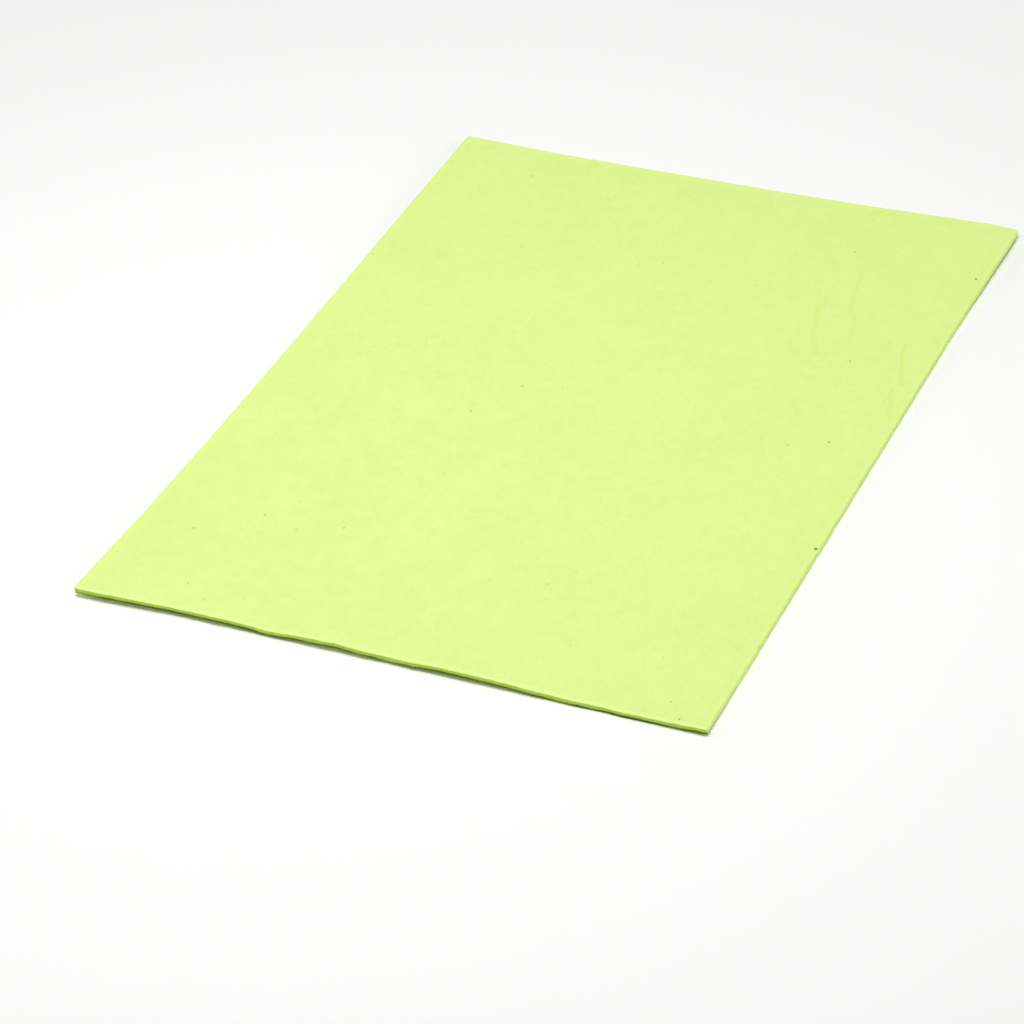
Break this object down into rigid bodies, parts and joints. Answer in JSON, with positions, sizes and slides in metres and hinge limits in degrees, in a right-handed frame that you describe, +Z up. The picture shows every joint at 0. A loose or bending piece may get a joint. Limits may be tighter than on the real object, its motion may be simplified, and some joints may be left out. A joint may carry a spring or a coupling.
{
  "type": "craft foam sheet",
  "caption": "Thin rectangular sheet of closed-cell craft foam in pale lime green, square-cut with soft rims, lying nearly flat as stock for cutting and gluing.",
  "frame": {"origin": "middle of the underside, where the sheet lies on the surface below", "axes": "+X along the short side, +Y along the long side away from the rippled near border, +Z up out of the top face"},
  "size_m": [0.2128, 0.2992, 0.0033],
  "materials": {
    "lime_foam": "dull, finely grained closed-cell EVA foam skin"
  },
  "bodies": {
    "root": {"foam_sheet": "lime_foam"}
  },
  "joints": []
}
